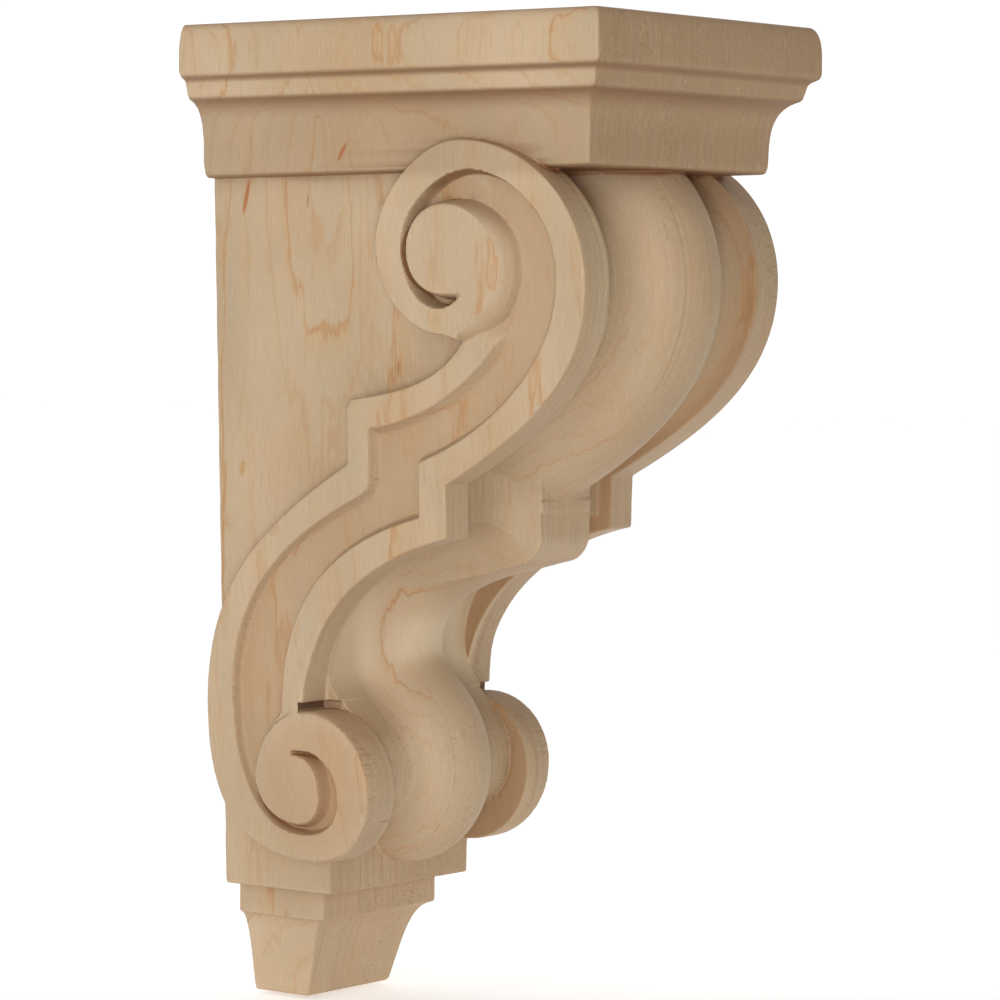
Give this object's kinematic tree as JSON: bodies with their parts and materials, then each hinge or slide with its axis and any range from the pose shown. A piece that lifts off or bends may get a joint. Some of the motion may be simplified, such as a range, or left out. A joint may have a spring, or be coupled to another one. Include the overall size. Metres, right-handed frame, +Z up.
{
  "type": "wooden corbel",
  "caption": "Carved wooden corbel with a moulded cap, an S-scroll console with volutes on both sides, a ribbed front and a small drop at its foot, for holding up a shelf or worktop",
  "frame": {"origin": "middle of the flat back face, at half the corbel's height, where it meets the wall", "axes": "+Z up, front towards -Y, back face on the plane Y=0, +X to the right seen from the front"},
  "size_m": [0.1266, 0.1735, 0.33],
  "materials": {
    "maple": "bare sanded wood, matte"
  },
  "bodies": {
    "root": {"corbel": "maple"}
  },
  "joints": []
}
